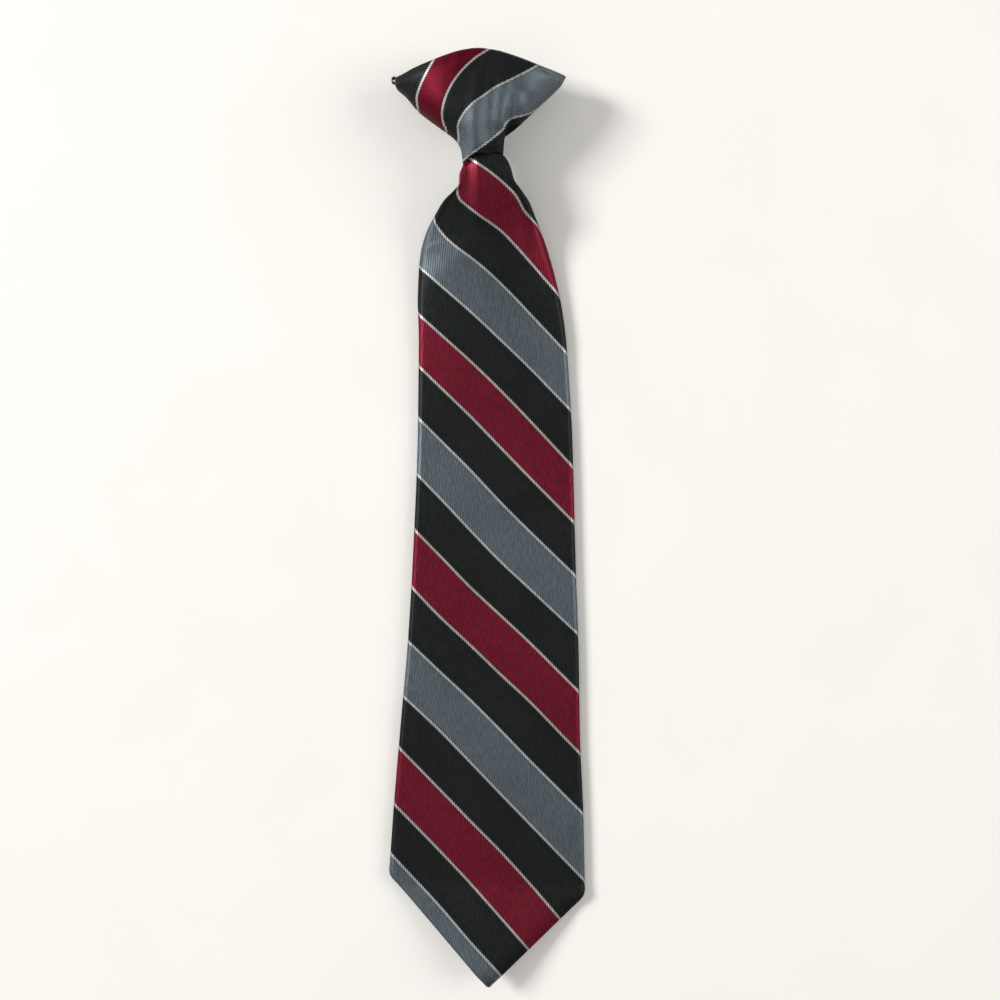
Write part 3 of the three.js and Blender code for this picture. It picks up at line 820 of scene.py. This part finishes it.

# %% [markdown]
# ## Sewing the blade together
#
# The rings are joined into one closed skin of cloth, with both sides and the rolled lips of
# the seam. It stands for the plain solid.

# %% Make the blade's cloth
def tube_caps(first, last):
    """Quads that close the cloth at the two end rings."""
    faces = []
    for start in (first, last):
        outer = [start + i for i in range(TUBE)]
        inner = [start + TUBE + 3 + i for i in reversed(range(TUBE))]
        faces += [(outer[i], outer[i + 1], inner[i + 1], inner[i]) for i in range(TUBE - 1)]
        faces.append((outer[-1], start + TUBE, start + TUBE + 1, start + TUBE + 2, inner[-1]))
        faces.append((inner[0], *(start + RING - 3 + i for i in range(3)), outer[0]))
    return faces


blade_points = np.vstack(blade_rings)
blade_flat = np.vstack(blade_cloth_places)
blade_seen = seen(blade_flat[:, 0], blade_flat[:, 1], blade_points[:, 2])
blade_weave = np.stack([
    blade_ribs(blade_flat[:, 0], blade_flat[:, 1]),
    stripe_numbers(*blade_seen, BLADE_LINES, run_out=75),
], 1)
blade_inside = np.tile(np.arange(RING) >= TUBE, len(rows)) & np.tile(
    np.arange(RING) < 2 * TUBE + 6, len(rows))
blade_faces = loft(blade_rings) + tube_caps(0, (len(rows) - 1) * RING)
blade = cloth_piece("blade_cloth", blade_points, blade_faces, blade_weave,
                    [satin, wrong_side], blade_inside)
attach(blade, "root")
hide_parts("blade")

# %% [markdown]
# ## The seam
#
# The two flaps are drawn together by slanting slip stitches, and a bar tack, a few strands
# side by side with shorter ones sewn over them, stops the seam from opening at its lower end.
# A thread is a curve with a round bevel, which is lighter to make than a mesh tube. The
# stitches lie in the shallow groove where the cloth rolls into the seam.

# %% Spin the thread
thread, tree, shader = start_material("black_thread")
shader["Specular IOR Level"].default_value = 0.3
fibre = cloud(tree, 2600, 3.0, (1, 0.3, 1))
plug(tree, tint(tree, spread(tree, fibre, 0.35, 0.65), (0.012, 0.013, 0.014, 1),
                (0.04, 0.042, 0.045, 1)), shader["Base Color"])
plug(tree, spread(tree, fibre, 0.3, 0.7, 0.5, 0.75), shader["Roughness"])
emboss(tree, fibre, 0.00004, shader["Normal"])


def sew(name, strands, radius):
    """One piece with many short threads, each through a few points in millimetres."""
    curve = bpy.data.curves.new(name, "CURVE")
    curve.dimensions = "3D"
    curve.bevel_depth = radius * MM
    curve.bevel_resolution = 2
    curve.resolution_u = 4
    curve.use_fill_caps = True
    for strand in strands:
        spline = curve.splines.new("BEZIER")
        spline.bezier_points.add(len(strand) - 1)
        for point, where in zip(spline.bezier_points, strand):
            point.co = [value * MM for value in where]
            point.handle_left_type = point.handle_right_type = "AUTO"
    curve.materials.append(thread)
    piece = bpy.data.objects.new(name, curve)
    bpy.context.collection.objects.link(piece)
    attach(piece, "root")
    print(name, "has", len(strands), "strands")
    return piece


# %% Sew the seam and its bar tack
STITCH_EVERY, SEAM_START, SEAM_END = 6.5, 0.1, 0.74
TACK_AT = 0.752


def seam_point(down, side, forward=0.0, low=0.0):
    """A place in the groove of the seam, a little to one side of its middle."""
    left, right = blade_sides(down)
    raised = NECK_LIFT * float(read(BLADE, "down", "lift", down))
    groove = SEAM_GROOVE * math.exp(-((side / GROOVE_WIDTH) ** 2))
    return ((left + right) / 2 + side, BLADE_TOP - down * BLADE_LENGTH + forward,
            raised + max(groove - low, 0.16))


stitch_rows = np.arange(SEAM_START, SEAM_END, STITCH_EVERY / BLADE_LENGTH)
stitches = sew("seam_stitches", [
    [seam_point(down, -0.95, -0.5), seam_point(down, 0.0, 0.0, 0.12), seam_point(down, 0.95, 0.5)]
    for down in stitch_rows
], 0.11)
tack_strands = [
    [seam_point(TACK_AT, -1.7, 0.3 * i), seam_point(TACK_AT, 0.0, 0.3 * i, 0.1),
     seam_point(TACK_AT, 1.7, 0.3 * i)] for i in range(5)
]
tack_strands += [
    [seam_point(TACK_AT, 0.36 * i, -0.25, -0.02), seam_point(TACK_AT, 0.36 * i + 0.12, 0.6, 0.26),
     seam_point(TACK_AT, 0.36 * i + 0.24, 1.45, -0.02)] for i in range(-4, 4)
]
tack = sew("bar_tack", tack_strands, 0.13)

# %% [markdown]
# ## The knot
#
# The knot is a band of the same cloth wrapped round a stiff core. It is widest at its wings,
# narrow at the throat and bowed along the top, where the cloth rolls over. Rows from the
# throat to the top, each a rounded section, make its body. The creases that the wrapping
# leaves come from the same kind of paths as on the blade.

# %% Tabulate the knot from the throat to its top
KNOT = table(
    "up left left_up right right_up bow crown back edge dome flat",
    (0.0, 0.0, 0.0, 0.0, 0.0, 0.0, 0.0, 0.0, 0.35, 2.2, 2.4),
    (0.12, 0.035, 0.1, 0.008, 0.1, 0.004, 0.3, 0.0, 0.37, 2.2, 2.8),
    (0.24, 0.12, 0.19, 0.03, 0.205, 0.02, 0.58, 0.0, 0.39, 2.3, 3.4),
    (0.34, 0.25, 0.257, 0.196, 0.287, 0.045, 0.78, 0.0, 0.4, 2.5, 4.0),
    (0.5, 0.48, 0.364, 0.394, 0.394, 0.09, 0.92, 0.0, 0.4, 2.6, 5.0),
    (0.66, 0.665, 0.458, 0.6, 0.508, 0.125, 0.96, 0.0, 0.4, 2.6, 6.0),
    (0.82, 0.85, 0.592, 0.8, 0.612, 0.168, 0.93, 0.0, 0.4, 2.6, 6.0),
    (0.93, 0.99, 0.678, 0.955, 0.7, 0.218, 0.86, 0.02, 0.4, 2.6, 5.0),
    (1.0, 0.98, 0.733, 1.0, 0.743, 0.2527, 0.78, 0.1, 0.38, 2.6, 3.0),
)
KNOT_SHIFT = -0.034
BOW = table(
    "across bow",
    (-1.0, 0.0), (-0.93, 0.082), (-0.785, 0.312), (-0.57, 0.581), (-0.355, 0.82),
    (-0.21, 0.931), (-0.035, 1.0), (0.145, 0.934), (0.36, 0.742), (0.57, 0.505), (0.72, 0.322),
    (0.86, 0.164), (1.0, 0.0),
)
WING_EDGE = [(5.9, 116.2), (6.3, 117.0), (7.5, 117.6), (10.2, 118.2), (12.7, 119.0),
             (15.1, 120.3), (17.3, 122.2), (20, 124.5)]
print("the knot's table has", len(KNOT["up"]), "rows")

# %% [markdown]
# A ridge, a valley and a lower ridge rise from the throat. To their right two creases run
# down to the wing's lower edge, where the band is tucked under itself. The right wing swells
# softly and has one fine groove, and on the left are a short valley and another ridge.

# %% Place the folds of the knot
KNOT_FOLDS = [
    ([(-3.8, 107), (-3.4, 115), (-2.8, 122), (-1.6, 128)], (2.0, 2.6), (1.1, 0.5)),
    ([(0.9, 107), (1.1, 115), (1.3, 122), (2.0, 128)], (1.8, 2.2), (-0.95, -0.5)),
    ([(4.6, 112), (4.7, 119), (5.0, 124), (5.4, 130)], (1.8, 2.4), (0.45, 0.1)),
    ([(-4.6, 137.0), (-5.6, 134.8), (-8.2, 132.0)], (1.5, 1.5), (-0.5, -0.15)),
    ([(7.9, 126.0), (7.6, 124.0), (7.4, 120.6), (6.4, 117.2)], (1.6, 1.1), (-0.3, -1.5)),
    ([(8.2, 128.0), (10.2, 125.8), (12.6, 123.4), (14.0, 121.8)], (1.6, 1.8), (-0.4, -0.5)),
    ([(13.0, 134.0), (17.0, 130.0), (19.0, 126.0)], (7.0, 6.5), (0.5, 0.4)),
    ([(17.3, 133.6), (21.2, 131.3)], (0.35, 0.3), (-0.18, -0.14)),
    ([(-9.8, 124), (-8.8, 131), (-7.2, 137)], (2.6, 3.2), (0.1, 0.7)),
]
print("the knot has", len(KNOT_FOLDS), "folds")

# %% [markdown]
# The knot's shadow is short beside its wing tips, so they are nearer to the table than its
# middle. The solid knot has level wings. Here they are bent back, and each point moves along
# its line of sight, so that the outline in the view stays as it was measured.

# %% Bend the wings back
WING_DROP, WING_START, WING_SPAN = 5.5, 11, 15.5


def lower_wings(points):
    """Lower the points on both wings, more the farther out they are."""
    out = np.clip((np.abs(points[:, 0] - THROAT_SHIFT) - WING_START) / WING_SPAN, 0, 1)
    drop = WING_DROP * out**1.6
    farther = 1 + drop / (CAMERA_HEIGHT - points[:, 2])
    return np.stack([mix(CAMERA_X, points[:, 0], farther), mix(CAMERA_Y, points[:, 1], farther),
                     points[:, 2] - drop], 1)


print("a wing's tip is lowered to", lower_wings(np.array([[25.0, 131.0, 13.3]]))[0].round(1))

# %% Shape one row round the knot
KNOT_COLUMNS = 132
BACK_FOLD, BACK_STEP = 3.5, 0.5
TUCK_DEPTH = 6.5
TOP_LEAN = 0.24


def knot_ring(up, inset, squeeze=1.0, push=0.0):
    """One row round the knot, along the back from left to right and along the front back to
    the left. Squeeze thins the row and push moves it up, which rolls the top edge over."""
    row = {name: float(read(KNOT, "up", name, up)) for name in KNOT}
    ends = []
    for column, sign in (("left", -1), ("right", 1)):
        throat = THROAT_SHIFT + sign * THROAT_WIDTH / 2
        wing = KNOT_SHIFT * KNOT_WIDTH + sign * KNOT_WIDTH / 2
        ends.append(mix(throat, wing, row[column]) - sign * inset * (1 + 0.5 * row["left"]))
    back = KNOT_BACK + row["back"] * KNOT_DEPTH + inset
    crown = KNOT_BACK + mix(THROAT_DEPTH, KNOT_DEPTH, row["crown"]) - inset
    edge = KNOT_BACK + row["edge"] * KNOT_DEPTH
    even = np.linspace(-1, 1, KNOT_COLUMNS + 1)
    across = mix(even, -np.cos(np.pi * (even + 1) / 2), 0.5)
    x = mix(ends[0], ends[1], (across + 1) / 2)
    straight = mix(row["left_up"], row["right_up"], (across + 1) / 2)
    y = THROAT_Y + KNOT_LENGTH * (straight + row["bow"] * read(BOW, "across", "bow", across))
    y = y + push + rim_rise(across) * ease((0.12 - up) / 0.12)

    def rounded(power):
        return np.maximum(0, 1 - np.abs(across) ** power) ** (1 / power)

    swell = rounded(row["dome"])
    shape = fold_heights(x, y, KNOT_FOLDS) * (0.3 if inset else 1)
    away, _ = near_path(x, y, WING_EDGE)
    inside = np.minimum(away, (x - 5.5) * 0.9)
    front = mix(edge, crown, swell) + shape * np.sqrt(swell)
    front = np.maximum(front - TUCK_DEPTH * ease(inside), np.minimum(front, edge - 0.4))
    rear = mix(edge, back + BACK_STEP * ease((x - BACK_FOLD) / 0.5), rounded(row["flat"]))
    middle = (front + rear) / 2
    front, rear = middle + (front - middle) * squeeze, middle + (rear - middle) * squeeze
    lean = TOP_LEAN * np.maximum(0, front - KNOT_BACK - 5) * ease((up - 0.75) / 0.25)
    behind = np.stack([x, y, rear], 1)
    before = np.stack([x, y - lean, front], 1)[1:-1][::-1]
    return lower_wings(np.vstack([behind, before]))


# %% Stack the rows of the knot
KNOT_RISE = np.concatenate([np.linspace(0, 0.9, 60, endpoint=False), np.linspace(0.9, 1, 14)])
ROLL_OVER = [(0.97, 0.12), (0.9, 0.24), (0.72, 0.36), (0.42, 0.44), (0.1, 0.48)]
knot_outside = [knot_ring(up, 0) for up in KNOT_RISE]
knot_outside += [knot_ring(1.0, 0, squeeze, push) for squeeze, push in ROLL_OVER]
knot_inside = [knot_ring(up, CLOTH_WALL) for up in np.linspace(0.0, 0.86, 40)]
print("the knot has", len(knot_outside), "rows of", len(knot_outside[0]), "points")

# %% [markdown]
# The stripes of the knot fan out from the throat: the band was folded there, so its lines
# bend. Their ribs lie almost level.

# %% Draw the pale lines on the knot
KNOT_LINES = [
    [(-16.4, 140.8), (-18.5, 137.1), (-20.4, 133.0), (-21.4, 129.4), (-21.1, 126.5)],
    [(0.5, 144.3), (-3.5, 141.7), (-7.8, 137.6), (-10.8, 133.4), (-12.8, 128.8),
     (-13.6, 124.8), (-13.2, 121.7), (-12.3, 119.4), (-12.8, 117.0)],
    [(15.9, 139.5), (12.8, 137.8), (7.7, 135.2), (2.7, 132.7), (-1.3, 129.9), (-3.5, 128.4),
     (-7.2, 124.3), (-8.7, 121.0), (-8.6, 118.5), (-8.5, 116.6), (-9.4, 114.4)],
    [(21.0, 126.4), (17.6, 126.9), (15.6, 125.9), (13.0, 124.6), (10.6, 123.9), (8.3, 123.4),
     (6.7, 122.4), (5.8, 121.3), (5.3, 120.1), (3.5, 118.4), (0.5, 116.0), (-2.1, 114.1),
     (-5.0, 111.9)],
]
print("the knot has", len(KNOT_LINES), "pale lines")


# %% Make the knot's cloth
KNOT_RIB = 0.7


def close_halves(start, count):
    """Quads between the back and the front half of a ring, which closes a flattened end."""
    back = [start + i for i in range(KNOT_COLUMNS + 1)]
    front = [start] + [start + i for i in range(count - 1, KNOT_COLUMNS - 1, -1)]
    faces = [(back[0], back[1], front[1])]
    faces += [(back[i], back[i + 1], front[i + 1], front[i]) for i in range(1, KNOT_COLUMNS - 1)]
    faces.append((back[-2], back[-1], front[-2]))
    return faces


ring_size = len(knot_outside[0])
knot_rings = knot_outside[::-1] + knot_inside
knot_points = np.vstack(knot_rings)
knot_faces = loft(knot_rings)
knot_faces += close_halves(0, ring_size)
knot_faces += close_halves((len(knot_rings) - 1) * ring_size, ring_size)
knot_x, knot_y = knot_points[:, 0], knot_points[:, 1]
knot_weave = np.stack([
    (knot_y + 0.02 * knot_x - 0.004 * knot_x**2) / KNOT_RIB,
    stripe_numbers(*seen(*knot_points.T), [line[::-1] for line in KNOT_LINES], run_out=24),
], 1)
knot_is_inside = np.arange(len(knot_points)) >= len(knot_outside) * ring_size
knot = cloth_piece("knot_cloth", knot_points, knot_faces, knot_weave,
                   [smooth_satin, wrong_side], knot_is_inside)
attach(knot, "root")
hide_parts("knot")

# %% [markdown]
# At the tip of the left wing the edge of the band is rolled up into a little curl. Its
# upper rim is painted pale grey: a painted highlight on the curl. It is a strip that is
# swept round a short spiral.

# %% Roll the curl at the wing's tip
# Painted highlight: a pale grey for the upper rim of the curl.
rim_highlight, tree, shader = start_material("painted_rim_highlight")
fuzz = cloud(tree, 3000, 4.0)
plug(tree, tint(tree, spread(tree, fuzz, 0.35, 0.65), (0.34, 0.34, 0.33, 1),
                (0.5, 0.5, 0.49, 1)), shader["Base Color"])
shader["Roughness"].default_value = 0.9

CURL_MIDDLE, CURL_LOW, CURL_HIGH = (-27.35, 130.95), 10.9, 14.2
CURL_FROM, CURL_TURN = -70, 430
CURL_WIDE, CURL_TIGHT = 0.95, 0.38
CURL_SECTION = [(-0.2, 0.1), (-0.12, 0.0), (0.12, 0.0), (0.2, 0.1),
                (0.2, 0.88), (0.13, 1.0), (-0.13, 1.0), (-0.2, 0.88)]
curl_rings, curl_weave = [], []
for turn in np.linspace(0, 1, 40):
    angle = math.radians(CURL_FROM + CURL_TURN * turn)
    for thick, high in CURL_SECTION:
        radius = mix(CURL_WIDE, CURL_TIGHT, turn) + thick
        rise = mix(CURL_LOW, CURL_HIGH - 0.5 * turn, high)
        curl_rings.append((CURL_MIDDLE[0] + radius * math.cos(angle),
                           CURL_MIDDLE[1] + 1.15 * radius * math.sin(angle), rise))
        curl_weave.append((rise / KNOT_RIB, 1.5))
count = len(CURL_SECTION)
curl_rings = lower_wings(np.array(curl_rings)).reshape(-1, count, 3)
curl_faces = loft(curl_rings) + [tuple(range(count)),
                                 tuple(range(len(curl_rings) * count - 1,
                                             (len(curl_rings) - 1) * count - 1, -1))]
# The upper corners of the section get the painted highlight.
highlighted_rim = np.tile([corner in (5, 6) for corner in range(count)], len(curl_rings))
curl = cloth_piece("wing_curl", curl_rings.reshape(-1, 3), curl_faces, curl_weave,
                   [smooth_satin, rim_highlight], highlighted_rim)
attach(curl, "root")

# %% [markdown]
# ## The clip
#
# The clip is one strip of bent spring steel, and its solid already has the right shape. It
# only gets a brushed, bright metal.

# %% Polish the clip
steel, tree, shader = start_material("clip_steel")
shader["Metallic"].default_value = 1.0
brushed = cloud(tree, 500, 3.0, (1, 0.06, 1))
worn = cloud(tree, 120, 3.0)
plug(tree, tint(tree, spread(tree, worn, 0.4, 0.7), (0.62, 0.63, 0.65, 1),
                (0.5, 0.5, 0.51, 1)), shader["Base Color"])
plug(tree, spread(tree, brushed, 0.3, 0.7, 0.2, 0.38), shader["Roughness"])
emboss(tree, brushed, 0.00002, shader["Normal"])
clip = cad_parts["collar_clip"]
for slot in clip.material_slots:
    slot.material = steel
print("the clip has", len(clip.data.polygons), "faces")

# %% [markdown]
# ## The table
#
# The tie lies on a plain white table top, which is only a stage for it.

# %% Set the table
table_mesh = bpy.data.meshes.new("table_top")
REACH, TABLE_Z = 1.5, -0.00003
table_mesh.from_pydata([(-REACH, -REACH, TABLE_Z), (REACH, -REACH, TABLE_Z),
                        (REACH, REACH, TABLE_Z), (-REACH, REACH, TABLE_Z)], [], [(0, 1, 2, 3)])
table_top = bpy.data.objects.new("table_top", table_mesh)
bpy.context.collection.objects.link(table_top)
white, tree, shader = start_material("white_table")
shader["Roughness"].default_value = 0.6
shader["Specular IOR Level"].default_value = 0.3
mottle = spread(tree, cloud(tree, 30, 3.0), 0.3, 0.7)
plug(tree, tint(tree, mottle, (0.868, 0.858, 0.84, 1), (0.883, 0.873, 0.855, 1)),
     shader["Base Color"])
table_mesh.materials.append(white)
print("the table is", 2 * REACH, "m wide")
